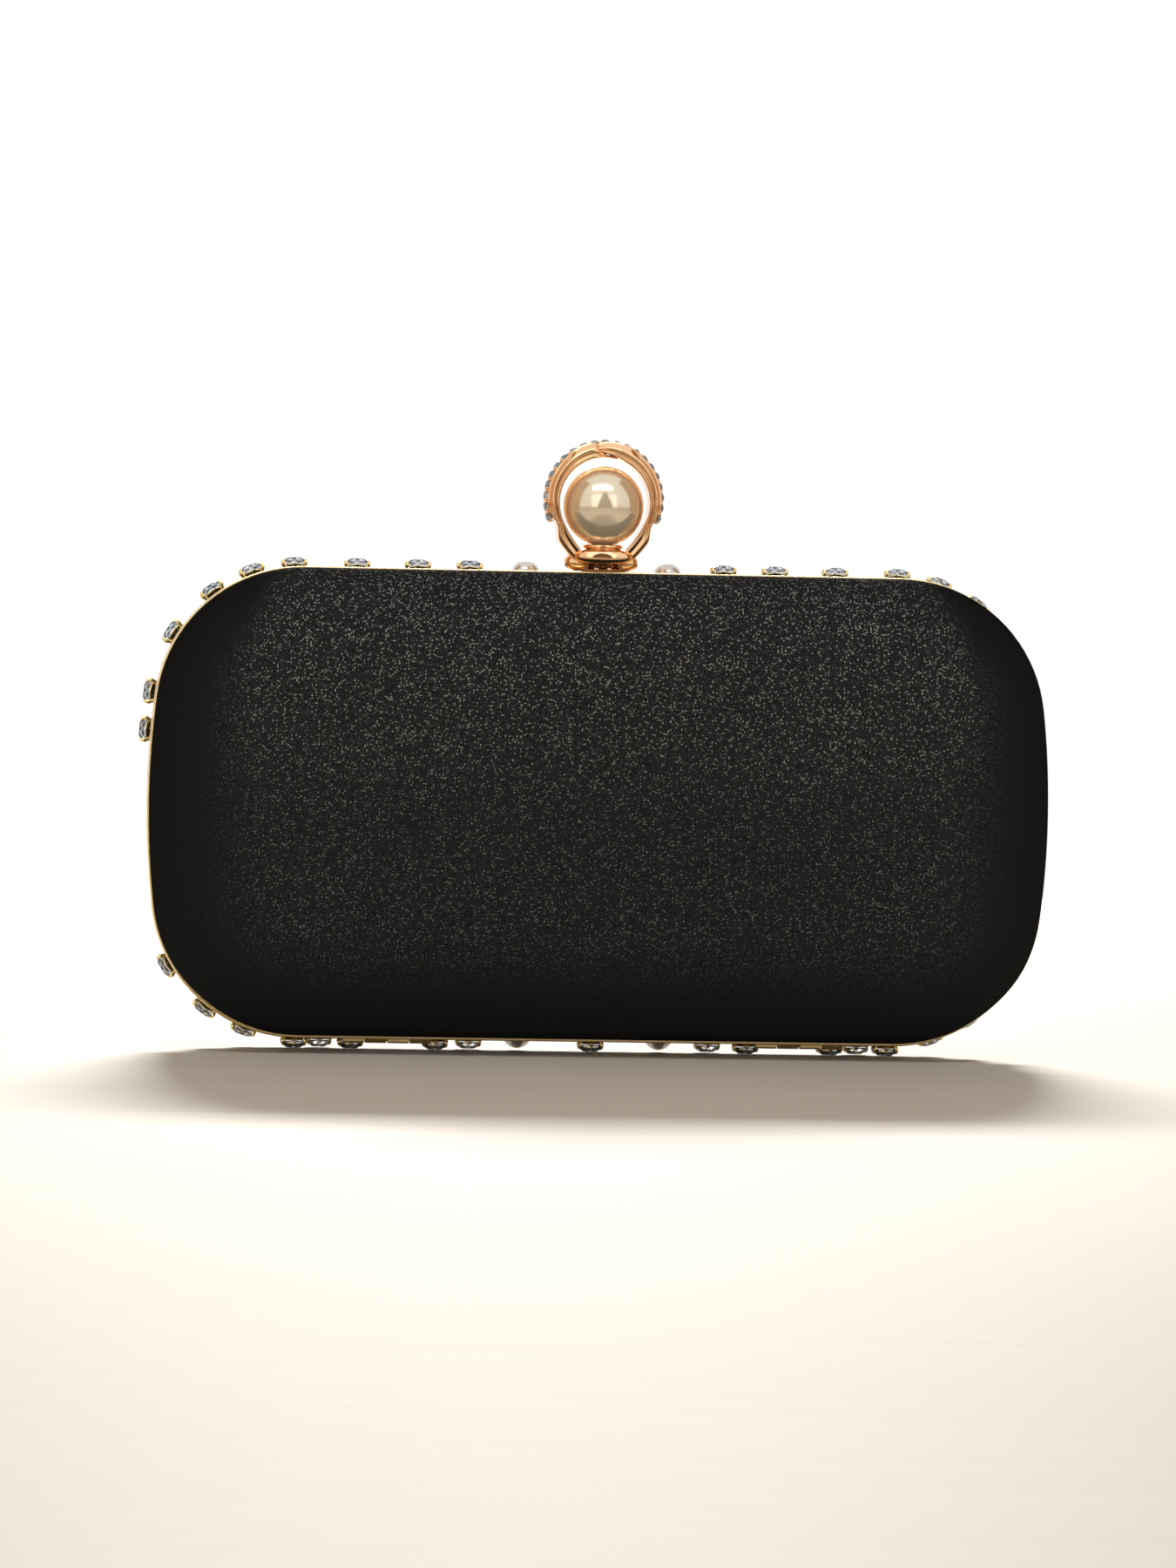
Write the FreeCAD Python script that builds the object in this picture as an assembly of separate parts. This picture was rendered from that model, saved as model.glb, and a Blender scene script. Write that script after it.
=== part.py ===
import FreeCAD, Part
import math
import os

# Hard-sided evening clutch: two framed half shells on two bottom hinges, closed by a rocking
# clasp that carries a finger ring round a pearl. Millimetres, +Z up, the bag standing on the
# trim under its front half. X is its width, Y its depth: the plain rear half is on -Y.

Vector = FreeCAD.Vector

# Outline of the metal frames, seen along Y.
WIDTH = 190.0
HEIGHT = 99.0
CORNER_RADIUS = 31.0
SIDE_BOW_RADIUS = 186.0

# The two halves: -1 is the rear one, +1 the front one.
REAR = -1
FRONT = 1
DEPTH = {REAR: 21.0, FRONT: 22.0}
EDGE_ROUNDING = {REAR: 14.0, FRONT: 7.0}
HALF_NAME = {REAR: "rear", FRONT: "front"}

# L-section frames round the seam.
SEAM_GAP = 0.3
BAND_THICKNESS = 0.7
BAND_WIDTH = 3.4
BAND_MARGIN = 0.3
FLANGE_THICKNESS = 0.8
FLANGE_LIP = 0.15
BAND_EDGE_ROUNDING = 0.25

# Layers of each half, from the outside in.
LAYER_THICKNESS = {"cover": 0.4, "padding": 0.8, "shell": 1.5, "lining": 0.6}
LAYER_GAP = 0.1
LAYER_SEAT = 0.05
COVER_INSET = BAND_THICKNESS + LAYER_SEAT
LAYER_START = SEAM_GAP / 2 + FLANGE_THICKNESS + LAYER_SEAT
LAYUP = sum(LAYER_THICKNESS.values()) + (len(LAYER_THICKNESS) - 1) * LAYER_GAP
FLANGE_REACH = COVER_INSET + LAYUP + FLANGE_LIP
COVER_TOP = HEIGHT / 2 - COVER_INSET
FRAME_TOP = HEIGHT / 2

# Hinges under the seam, their axis in the frames' outer face, along the straight of the bottom.
HINGE_SHARE = 0.694
HINGE_Z = -HEIGHT / 2
KNUCKLE_LENGTH = 4.5
KNUCKLE_GAP = 0.2
KNUCKLES = 4
BARREL_RADIUS = 1.0
HINGE_PIN_RADIUS = 0.6
RUNNING_CLEARANCE = 0.05
NOTCH_CLEARANCE = 0.2
LEAF_THICKNESS = 0.5
LEAF_REACH = BAND_WIDTH - BAND_MARGIN

# Clasp: a bracket on the rear frame with two ears, and what rocks on its pin.
PIVOT_Y = -BAND_WIDTH / 2
PIVOT_RADIUS = 0.5
PIVOT_OVERHANG = 0.3
EAR_X = 3.6
EAR_THICKNESS = 0.8
EAR_RADIUS = 1.0
BRACKET_THICKNESS = 0.5
BRACKET_MARGIN = 0.6
PIVOT_Z = FRAME_TOP + BRACKET_THICKNESS + EAR_RADIUS + 0.3
SPRING_WIRE = 0.3
SPRING_RADIUS = PIVOT_RADIUS + 0.2 + SPRING_WIRE / 2
SPRING_TURNS = 6
RIVET_X = 1.4
RIVET_RADIUS = 0.35
RIVET_HEAD_RADIUS = 0.6
RIVET_HEAD_HEIGHT = 0.3
KEEPER_HALF_WIDTH = 2.2
KEEPER_THICKNESS = 0.4
LUG_HALF_WIDTH = 1.6
LUG_Y = (1.3, 2.0)
LUG_HEIGHT = 1.1

# Cap: a far dome over the front frame, and a higher near dome with an open lip.
NEAR_DOME_CENTRE = Vector(0, -2.0, FRAME_TOP + 1.45)
NEAR_DOME_RADII = (6.2, 3.4, 3.5)
FAR_DOME_CENTRE = Vector(0, 1.0, FRAME_TOP + 0.1)
FAR_DOME_RADII = (7.8, 5.4, 3.5)
FAR_DOME_START_Y = 0.1
CAP_WALL = 0.7
CAP_CLEARANCE = 0.25
CAP_TOP = NEAR_DOME_CENTRE.z + NEAR_DOME_RADII[2]
CAP_LOBE_RADIUS = 0.95
CAP_LOBE_THICKNESS = 0.8
CAP_LOBE_GAP = 0.2
CAP_LOBE_X = EAR_X - EAR_THICKNESS / 2 - CAP_LOBE_GAP - CAP_LOBE_THICKNESS / 2
TOOTH_HALF_WIDTH = 1.2
TOOTH_Y = (LUG_Y[1] + 0.4, LUG_Y[1] + 1.1)
TOOTH_TOP = FAR_DOME_CENTRE.z + FAR_DOME_RADII[2] - CAP_WALL / 2

# Ring, cup and pearl on the cap. The ring's bore and outside are eccentric: it is thickest on top.
PEARL_RADIUS = 8.5
PEARL_CLEARANCE = 0.95
CUP_FLOOR = 0.25
CUP_RADIUS = 4.3
CUP_HEIGHT = 1.3
RING_Y = -0.3
RING_DEPTH = 8.0
RING_WALL_BASE = 1.3
RING_WALL_CROWN = 2.6
RING_EDGE_ROUNDING = 1.5
RING_FLOOR_Z = CAP_TOP + 0.15
RING_BORE_RADIUS = PEARL_RADIUS + PEARL_CLEARANCE
RING_BORE_Z = RING_FLOOR_Z + RING_BORE_RADIUS
RING_OUTER_RADIUS = RING_BORE_RADIUS + (RING_WALL_BASE + RING_WALL_CROWN) / 2
RING_OUTER_Z = RING_FLOOR_Z - RING_WALL_BASE + RING_OUTER_RADIUS
PEARL_Z = RING_FLOOR_Z + CUP_FLOOR + PEARL_RADIUS
PEG_RADIUS = 0.6
PEG_LENGTH = 6.0
PEG_START = RING_FLOOR_Z - RING_WALL_BASE - 0.1
FIT_CLEARANCE = 0.02

# Trim on the front half: (length, width, height) of each stone in its setting, and pearls.
EDGE_STONE = (5.6, 4.4, 2.7)
BOTTOM_STONE = (5.6, 4.4, 3.2)
FACE_STONE = (9.4, 8.2, 4.0)
RING_STONE = (1.9, 1.9, 1.25)
LARGE_PEARL_RADIUS = 6.0
SMALL_PEARL_RADIUS = 3.0
COLLET_WALL = 0.35
CLAW_RADIUS_SHARE = 0.11
TRIM_LIFT = 0.02
TRIM_MARGIN = 0.3

# Places of the trim: shares of the straight stretch, angles on the corners, drops below the
# frames' top on the sides, and two rows in Y.
TOP_STONE_SHARES = (0.43, 0.605, 0.81)
CORNER_STONE_DEG = (87.5, 71.0, 54.0, 32.0)
SIDE_STONE_DROPS = (27.0, 35.0)
BOTTOM_NEAR_SHARES = (0.0, 0.525, 0.81, 1.0)
BOTTOM_FAR_SHARES = (0.405, 0.91)
EDGE_PEARL_SHARE = 0.24
SEAM_ROW_Y = BAND_WIDTH + BOTTOM_STONE[1] / 2 + 2 * TRIM_MARGIN
OUTER_ROW_Y = DEPTH[FRONT] - EDGE_ROUNDING[FRONT] - EDGE_STONE[1] / 2 - 0.8
FACE_COLUMN_PITCH = 13.5
FACE_ROW_PITCH = 17.0
FACE_COLUMNS = 6
RING_STONE_FIRST_DEG = -18.0
RING_STONE_GAP = 0.2
RING_STONE_ROW_Y = RING_STONE[1] / 2 + RING_STONE_GAP

# The bag stands on its bottom trim, and the origin is under the middle of its depth.
FLOOR_Z = -COVER_TOP - TRIM_LIFT - max(BOTTOM_STONE[2], SMALL_PEARL_RADIUS)
FRONT_LIMIT_Y = DEPTH[FRONT] + TRIM_LIFT + LARGE_PEARL_RADIUS
ORIGIN_SHIFT = Vector(0, (DEPTH[REAR] - FRONT_LIMIT_Y) / 2, -FLOOR_Z)


def outline_centres():
    """Centre x of the side bow, centre (x, z) of the corner arc, and the angle where they meet."""
    bow_x = WIDTH / 2 - SIDE_BOW_RADIUS
    corner_z = HEIGHT / 2 - CORNER_RADIUS
    reach = SIDE_BOW_RADIUS - CORNER_RADIUS
    corner_x = bow_x + math.sqrt(reach**2 - corner_z**2)
    return bow_x, corner_x, corner_z, math.asin(corner_z / reach)


def polar(centre_x, centre_z, radius, angle):
    return Vector(centre_x + radius * math.cos(angle), 0, centre_z + radius * math.sin(angle))


def mirrored(point, x_side, z_side):
    return Vector(x_side * point.x, point.y, z_side * point.z)


def outline(inset):
    """Closed wire in the seam plane, inset from the frames' outer edge."""
    bow_x, corner_x, corner_z, meet = outline_centres()
    bow = SIDE_BOW_RADIUS - inset
    corner = CORNER_RADIUS - inset
    middle = (meet + math.pi / 2) / 2
    waist = polar(bow_x, 0, bow, 0)
    high = polar(bow_x, 0, bow, meet)
    shoulder = polar(corner_x, corner_z, corner, middle)
    top = polar(corner_x, corner_z, corner, math.pi / 2)
    arcs = []
    for x_side in (1, -1):
        for z_side in (1, -1):
            ends = [mirrored(point, x_side, z_side) for point in (high, shoulder, top)]
            arcs.append(Part.Arc(*ends))
        waist_ends = [mirrored(high, x_side, -1), mirrored(waist, x_side, 1), mirrored(high, x_side, 1)]
        arcs.append(Part.Arc(*waist_ends))
    for z_side in (1, -1):
        arcs.append(Part.LineSegment(mirrored(top, -1, z_side), mirrored(top, 1, z_side)))
    edges = Part.sortEdges([arc.toShape() for arc in arcs])[0]
    return Part.Wire(edges)


def block(half, inset, start, end, rounding=0.0):
    """The outline made solid from start to end out from the seam, its far edge rounded."""
    face = Part.Face(outline(inset))
    face.translate(Vector(0, half * start, 0))
    solid = face.extrude(Vector(0, half * (end - start), 0))
    if rounding:
        far = [e for e in solid.Edges if all(abs(v.Y - half * end) < 1e-6 for v in e.Vertexes)]
        solid = solid.makeFillet(rounding, far)
    return solid


def box(x_low, x_high, y_low, y_high, z_low, z_high):
    size = (x_high - x_low, y_high - y_low, z_high - z_low)
    return Part.makeBox(*size, Vector(x_low, y_low, z_low))


def rod_x(radius, length, centre):
    start = centre - Vector(length / 2, 0, 0)
    return Part.makeCylinder(radius, length, start, Vector(1, 0, 0))


def rod_y(radius, length, centre):
    start = centre - Vector(0, length / 2, 0)
    return Part.makeCylinder(radius, length, start, Vector(0, 1, 0))


def ellipsoid(centre, radii):
    shape = Part.makeSphere(1.0)
    matrix = FreeCAD.Matrix()
    matrix.scale(*radii)
    matrix.move(centre)
    return shape.transformGeometry(matrix)


def save(name, *shapes):
    """Writes the solids of one node, shifted to the row's origin."""
    solids = [solid for shape in shapes for solid in shape.Solids]
    whole = Part.Compound(solids) if len(solids) > 1 else solids[0].copy()
    whole.translate(ORIGIN_SHIFT)
    whole.exportStep(f"parts/{name}.step")


# ---------------------------------------------------------------- half shells and frames


def layer(half, name):
    """One dish of the half's lay-up: cover, padding, shell or lining."""
    outer = 0.0
    for other, thickness in LAYER_THICKNESS.items():
        if other == name:
            break
        outer += thickness + LAYER_GAP
    inner = outer + LAYER_THICKNESS[name]
    skin = block(half, COVER_INSET + outer, LAYER_START, DEPTH[half] - outer, EDGE_ROUNDING[half] - outer)
    hollow = block(half, COVER_INSET + inner, 0, DEPTH[half] - inner, EDGE_ROUNDING[half] - inner)
    return skin.cut(hollow)


def hinge_centre(side):
    straight = outline_centres()[1]
    return Vector(side * HINGE_SHARE * straight, 0, HINGE_Z)


def hinge_length():
    return KNUCKLES * KNUCKLE_LENGTH + (KNUCKLES - 1) * KNUCKLE_GAP


def frame(half):
    """Band round the seam with an inner flange, notched for the hinge barrels."""
    start = SEAM_GAP / 2
    solid = block(half, 0, start, BAND_WIDTH, BAND_EDGE_ROUNDING)
    solid = solid.cut(block(half, BAND_THICKNESS, start + FLANGE_THICKNESS, BAND_WIDTH + 1))
    solid = solid.cut(block(half, FLANGE_REACH, 0, BAND_WIDTH))
    for side in (-1, 1):
        notch = rod_x(BARREL_RADIUS + NOTCH_CLEARANCE, hinge_length() + 0.4, hinge_centre(side))
        solid = solid.cut(notch)
    if half == REAR:
        for x in (-RIVET_X, RIVET_X):
            solid = solid.cut(rivet_hole(x))
    return solid


# ---------------------------------------------------------------- hinges


def knuckles(side, half):
    """Every second barrel of one hinge, each with the leaf that is brazed under its frame."""
    pitch = KNUCKLE_LENGTH + KNUCKLE_GAP
    first = 0 if half == REAR else 1
    solids = []
    for index in range(first, KNUCKLES, 2):
        offset = (index - (KNUCKLES - 1) / 2) * pitch
        centre = hinge_centre(side) + Vector(offset, 0, 0)
        near = half * BARREL_RADIUS / 2
        far = half * LEAF_REACH
        half_length = KNUCKLE_LENGTH / 2
        leaf = box(
            centre.x - half_length, centre.x + half_length,
            min(near, far), max(near, far),
            HINGE_Z - LEAF_THICKNESS, HINGE_Z,
        )
        knuckle = rod_x(BARREL_RADIUS, KNUCKLE_LENGTH, centre).fuse(leaf)
        bore = rod_x(HINGE_PIN_RADIUS + RUNNING_CLEARANCE, KNUCKLE_LENGTH + 1, centre)
        solids.append(knuckle.cut(bore))
    return solids


def hinge_pin(side):
    return rod_x(HINGE_PIN_RADIUS, hinge_length(), hinge_centre(side))


# ---------------------------------------------------------------- clasp mount on the frames


def rivet_hole(x):
    start = Vector(x, PIVOT_Y, FRAME_TOP - BAND_THICKNESS - 0.1)
    length = BAND_THICKNESS + BRACKET_THICKNESS + 0.2
    return Part.makeCylinder(RIVET_RADIUS + FIT_CLEARANCE, length, start)


def rivet(x):
    start = Vector(x, PIVOT_Y, FRAME_TOP - BAND_THICKNESS)
    plate_top = FRAME_TOP + BRACKET_THICKNESS
    shank = Part.makeCylinder(RIVET_RADIUS, BAND_THICKNESS + BRACKET_THICKNESS + 0.1, start)
    head = Part.makeCylinder(
        RIVET_HEAD_RADIUS, RIVET_HEAD_HEIGHT, Vector(x, PIVOT_Y, plate_top + FIT_CLEARANCE)
    )
    return shank.fuse(head)


def pivot_centre(x=0.0):
    return Vector(x, PIVOT_Y, PIVOT_Z)


def clasp_bracket():
    """Plate on the rear frame with two ears for the pivot pin."""
    plate_top = FRAME_TOP + BRACKET_THICKNESS
    half_width = EAR_X + EAR_THICKNESS / 2 + BRACKET_MARGIN
    solid = box(-half_width, half_width, BAND_MARGIN - BAND_WIDTH, -BAND_MARGIN, FRAME_TOP, plate_top)
    for side in (-1, 1):
        ear = rod_x(EAR_RADIUS, EAR_THICKNESS, pivot_centre(side * EAR_X))
        post = box(
            side * EAR_X - EAR_THICKNESS / 2, side * EAR_X + EAR_THICKNESS / 2,
            PIVOT_Y - EAR_RADIUS, PIVOT_Y + EAR_RADIUS, plate_top - 0.1, PIVOT_Z,
        )
        solid = solid.fuse([ear, post])
    solid = solid.cut(rod_x(PIVOT_RADIUS + FIT_CLEARANCE, 4 * EAR_X, pivot_centre()))
    for x in (-RIVET_X, RIVET_X):
        solid = solid.cut(rivet_hole(x))
    return solid.removeSplitter()


def clasp_spring():
    """Torsion spring wound on the pivot pin, between the cap's two lobes."""
    length = 2 * CAP_LOBE_X - CAP_LOBE_THICKNESS - 2 * SPRING_WIRE
    wound = length - SPRING_WIRE
    helix = Part.makeHelix(wound / SPRING_TURNS, wound, SPRING_RADIUS)
    section = Part.Wire(Part.makeCircle(SPRING_WIRE / 2, Vector(SPRING_RADIUS, 0, 0), Vector(0, 1, 0)))
    coil = Part.Wire(helix).makePipeShell([section], True, True)
    coil.rotate(Vector(0, 0, 0), Vector(0, 1, 0), 90)
    coil.translate(pivot_centre(-wound / 2))
    return Part.Solid(coil) if not coil.Solids else coil.Solids[0]


def clasp_keeper():
    """Low plate on the front frame with the lug that the clasp's tooth drops behind."""
    plate_top = FRAME_TOP + KEEPER_THICKNESS
    plate_end = BAND_WIDTH - BAND_MARGIN
    plate = box(-KEEPER_HALF_WIDTH, KEEPER_HALF_WIDTH, BAND_MARGIN, plate_end, FRAME_TOP, plate_top)
    lug = box(-LUG_HALF_WIDTH, LUG_HALF_WIDTH, *LUG_Y, plate_top, FRAME_TOP + LUG_HEIGHT)
    return plate.fuse(lug).removeSplitter()


# ---------------------------------------------------------------- rocking clasp


def cap_domes(offset):
    """The near and the far dome of the cap as whole ellipsoids, grown by offset."""
    near = ellipsoid(NEAR_DOME_CENTRE, [radius + offset for radius in NEAR_DOME_RADII])
    far = ellipsoid(FAR_DOME_CENTRE, [radius + offset for radius in FAR_DOME_RADII])
    return near, far


def clasp_cap():
    """Domed cap with a raised near lip, two lobes on the pivot pin and a catch tooth."""
    near, far = cap_domes(0)
    reach = 20
    near_room = box(-reach, reach, -reach, reach, NEAR_DOME_CENTRE.z, CAP_TOP + reach)
    far_room = box(-reach, reach, FAR_DOME_START_Y, reach, FRAME_TOP + CAP_CLEARANCE, CAP_TOP + reach)
    outside = near.common(near_room).fuse(far.common(far_room))
    near_hollow, far_hollow = cap_domes(-CAP_WALL)
    solid = outside.cut(near_hollow).cut(far_hollow)
    for side in (-1, 1):
        centre = pivot_centre(side * CAP_LOBE_X)
        half_thickness = CAP_LOBE_THICKNESS / 2
        web = box(
            centre.x - half_thickness, centre.x + half_thickness,
            PIVOT_Y - CAP_LOBE_RADIUS, PIVOT_Y + CAP_LOBE_RADIUS, PIVOT_Z, CAP_TOP,
        )
        solid = solid.fuse([web.common(outside), rod_x(CAP_LOBE_RADIUS, CAP_LOBE_THICKNESS, centre)])
    tooth_bottom = FRAME_TOP + LUG_HEIGHT + CAP_CLEARANCE
    tooth = box(-TOOTH_HALF_WIDTH, TOOTH_HALF_WIDTH, *TOOTH_Y, tooth_bottom, TOOTH_TOP)
    lug_way = LUG_HALF_WIDTH + 1.0
    solid = solid.fuse(tooth)
    solid = solid.cut(box(-lug_way, lug_way, TOOTH_Y[1] + 0.2, reach, 0, tooth_bottom + CAP_CLEARANCE))
    solid = solid.cut(rod_x(PIVOT_RADIUS + RUNNING_CLEARANCE, 4 * EAR_X, pivot_centre()))
    return solid.cut(peg(FIT_CLEARANCE))


def peg(extra=0.0):
    return Part.makeCylinder(PEG_RADIUS + extra, PEG_LENGTH + extra, Vector(0, RING_Y, PEG_START))


def clasp_ring():
    """Finger ring, its bore along Y, thicker at the crown, seated on the cap."""
    solid = rod_y(RING_OUTER_RADIUS, RING_DEPTH, Vector(0, RING_Y, RING_OUTER_Z))
    rims = [e for e in solid.Edges if e.Closed]
    solid = solid.makeFillet(RING_EDGE_ROUNDING, rims)
    solid = solid.cut(rod_y(RING_BORE_RADIUS, RING_DEPTH + 2, Vector(0, RING_Y, RING_BORE_Z)))
    for dome in cap_domes(TRIM_LIFT):
        solid = solid.cut(dome)
    return solid.cut(peg(FIT_CLEARANCE))


def pearl_cup():
    """Shallow cup between the ring's bore and the pearl."""
    solid = Part.makeCylinder(CUP_RADIUS, CUP_HEIGHT, Vector(0, RING_Y, RING_FLOOR_Z))
    bore = rod_y(RING_BORE_RADIUS - FIT_CLEARANCE, RING_DEPTH + 2, Vector(0, RING_Y, RING_BORE_Z))
    ball = Part.makeSphere(PEARL_RADIUS + FIT_CLEARANCE, Vector(0, RING_Y, PEARL_Z))
    return solid.common(bore).cut(ball).cut(peg(FIT_CLEARANCE))


def clasp_pearl():
    return Part.makeSphere(PEARL_RADIUS, Vector(0, RING_Y, PEARL_Z)).cut(peg(FIT_CLEARANCE))


# ---------------------------------------------------------------- stones, settings and pearls


def octagon(length, width, z):
    """Eight-sided wire with cut corners, at height z."""
    cut = 0.29 * width
    x = length / 2
    y = width / 2
    points = [
        (x, y - cut), (x - cut, y), (cut - x, y), (-x, y - cut),
        (-x, cut - y), (cut - x, -y), (x - cut, -y), (x, cut - y),
    ]
    points.append(points[0])
    return Part.makePolygon([Vector(px, py, z) for px, py in points])


def stone(size):
    """Cut stone on its local +Z: pavilion, girdle and table, up to the full height."""
    length, width, height = size
    sections = [
        octagon(0.45 * length, 0.45 * width, 0.2 * height),
        octagon(length, width, 0.6 * height),
        octagon(0.62 * length, 0.62 * width, height),
    ]
    return Part.makeLoft(sections, True, True)


def setting(size):
    """Tapered collet round the stone's pavilion, with four claws over its girdle."""
    length, width, height = size
    foot = octagon(0.8 * length, 0.8 * width, 0)
    rim = octagon(length + COLLET_WALL, width + COLLET_WALL, 0.58 * height)
    collet = Part.makeLoft([foot, rim], True, True)
    claw_radius = CLAW_RADIUS_SHARE * width
    claw_height = 0.72 * height
    claws = []
    for x_side in (-1, 1):
        for y_side in (-1, 1):
            x = x_side * 0.42 * length
            y = y_side * 0.42 * width
            claw = Part.makeCylinder(claw_radius, claw_height, Vector(x, y, 0))
            tip = Part.makeSphere(claw_radius, Vector(x, y, claw_height))
            claws += [claw, tip]
    solid = collet.fuse(claws)
    return solid.cut(stone((length + 2 * FIT_CLEARANCE, width + 2 * FIT_CLEARANCE, height)))


def half_pearl(radius):
    """Flat-backed pearl on its local +Z."""
    return Part.makeSphere(radius, Vector(0, 0, 0), Vector(0, 0, 1), 0, 90, 360)


def placed(shape, centre, along, outward):
    """A copy of a local shape with its +X along the trim line and its +Z outward."""
    copy = shape.copy()
    rotation = FreeCAD.Rotation(along, Vector(0, 0, 0), outward, "ZXY")
    copy.Placement = FreeCAD.Placement(centre + outward * TRIM_LIFT, rotation)
    return copy


def on_wall(x, side, y):
    """Place on the flat top (side +1) or bottom (side -1) wall of the front half."""
    return Vector(x, y, side * COVER_TOP), Vector(1, 0, 0), Vector(0, 0, side)


def on_corner(angle_deg, x_side, z_side, y):
    """Place on a corner arc, its angle measured up from the bag's mid height."""
    _, corner_x, corner_z, _ = outline_centres()
    angle = math.radians(angle_deg)
    point = polar(corner_x, corner_z, CORNER_RADIUS - COVER_INSET, angle)
    return turned(point, polar(0, 0, 1, angle), x_side, z_side, y)


def on_side(z, x_side, y):
    """Place on the bowed side wall at a height from the bag's mid height."""
    bow_x = outline_centres()[0]
    radius = SIDE_BOW_RADIUS - COVER_INSET
    angle = math.asin(z / radius)
    return turned(polar(bow_x, 0, radius, angle), polar(0, 0, 1, angle), x_side, 1, y)


def turned(point, outward, x_side, z_side, y):
    normal = mirrored(outward, x_side, z_side)
    centre = mirrored(point, x_side, z_side) + Vector(0, y, 0)
    return centre, Vector(-normal.z, 0, normal.x), normal


def edge_stone_places():
    """Stones along the top wall, round the four corners and on the two sides."""
    straight = outline_centres()[1]
    places = []
    for x_side in (-1, 1):
        for share in TOP_STONE_SHARES:
            places.append(on_wall(x_side * share * straight, 1, OUTER_ROW_Y))
        for z_side in (-1, 1):
            for angle in CORNER_STONE_DEG[0 if z_side > 0 else 1:]:
                places.append(on_corner(angle, x_side, z_side, OUTER_ROW_Y))
        for drop in SIDE_STONE_DROPS:
            places.append(on_side(FRAME_TOP - drop, x_side, OUTER_ROW_Y))
    return places


def bottom_stone_places():
    """Two rows that the bag stands on, one near the seam and one near the front face."""
    straight = outline_centres()[1]
    places = []
    for row, y in ((BOTTOM_NEAR_SHARES, SEAM_ROW_Y), (BOTTOM_FAR_SHARES, OUTER_ROW_Y)):
        for share in sorted({x_side * share for share in row for x_side in (-1, 1)}):
            places.append(on_wall(share * straight, -1, y))
    return places


def edge_pearl_places():
    """Four half pearls, beside the middle of the top and the bottom wall."""
    x = EDGE_PEARL_SHARE * outline_centres()[1]
    return [on_wall(x_side * x, z_side, OUTER_ROW_Y) for x_side in (-1, 1) for z_side in (-1, 1)]


def face_places(parity, first_row, rows, reach):
    """Places on the flat of the front face, in every second column, for pieces of that reach."""
    places = []
    limit = Part.Face(outline(COVER_INSET + EDGE_ROUNDING[FRONT] + reach + TRIM_MARGIN))
    for column in range(-FACE_COLUMNS, FACE_COLUMNS + 1):
        if column % 2 != parity:
            continue
        for row in range(rows):
            x = column * FACE_COLUMN_PITCH
            z = (first_row + row) * FACE_ROW_PITCH
            if limit.isInside(Vector(x, 0, z), 0.01, True):
                centre = Vector(x, DEPTH[FRONT], z)
                places.append((centre, Vector(1, 0, 0), Vector(0, 1, 0)))
    return places


def ring_stone_places():
    """Two rows round the ring's outside, from below its waist over the crown."""
    places = []
    span = 180 - 2 * RING_STONE_FIRST_DEG
    arc = RING_OUTER_RADIUS * math.radians(span)
    steps = int(arc / (RING_STONE[0] + RING_STONE_GAP))
    for index in range(steps + 1):
        angle = math.radians(RING_STONE_FIRST_DEG + index * span / steps)
        outward = polar(0, 0, 1, angle)
        for row in (-RING_STONE_ROW_Y, RING_STONE_ROW_Y):
            centre = polar(0, RING_OUTER_Z, RING_OUTER_RADIUS, angle) + Vector(0, RING_Y + row, 0)
            places.append((centre, Vector(-outward.z, 0, outward.x), outward))
    return places


def save_trim(name, shape, places):
    save(name, *[placed(shape, *place) for place in places])


# ---------------------------------------------------------------- all nodes


def build_halves():
    for half, name in HALF_NAME.items():
        for part in LAYER_THICKNESS:
            save(f"{name}_{part}", layer(half, part))
        save(f"{name}_frame", frame(half))


def build_hinges():
    for side, name in ((-1, "left"), (1, "right")):
        for half, half_name in HALF_NAME.items():
            save(f"{name}_hinge_{half_name}_knuckles", *knuckles(side, half))
        save(f"{name}_hinge_pin", hinge_pin(side))


def build_clasp():
    save("clasp_bracket", clasp_bracket())
    save("bracket_rivets", *[rivet(x) for x in (-RIVET_X, RIVET_X)])
    pivot_length = 2 * (EAR_X + EAR_THICKNESS / 2 + PIVOT_OVERHANG)
    save("clasp_pivot_pin", rod_x(PIVOT_RADIUS, pivot_length, pivot_centre()))
    save("clasp_spring", clasp_spring())
    save("clasp_keeper", clasp_keeper())
    save("clasp_cap", clasp_cap())
    save("clasp_ring", clasp_ring())
    save("pearl_cup", pearl_cup())
    save("clasp_pearl", clasp_pearl())
    save("pearl_peg", peg())
    save_trim("ring_stones", stone(RING_STONE), ring_stone_places())


def build_trim():
    stones = {
        "edge": (EDGE_STONE, edge_stone_places()),
        "bottom": (BOTTOM_STONE, bottom_stone_places()),
        "face": (FACE_STONE, face_places(0, -2, 5, FACE_STONE[0] / 2)),
    }
    for name, (size, places) in stones.items():
        save_trim(f"{name}_stones", stone(size), places)
        save_trim(f"{name}_settings", setting(size), places)
    pearls = {
        "edge_pearls": (SMALL_PEARL_RADIUS, edge_pearl_places()),
        "face_large_pearls": (LARGE_PEARL_RADIUS, face_places(1, -1.5, 4, LARGE_PEARL_RADIUS)),
        "face_small_pearls": (SMALL_PEARL_RADIUS, face_places(0, -1.5, 4, SMALL_PEARL_RADIUS)),
    }
    for name, (radius, places) in pearls.items():
        save_trim(name, half_pearl(radius), places)


def build():
    os.makedirs("parts", exist_ok=True)
    build_halves()
    build_hinges()
    build_clasp()
    build_trim()


if __name__ == "__main__":
    build()
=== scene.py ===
import math

import bmesh
import bpy
from mathutils import Matrix, Vector, noise


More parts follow.
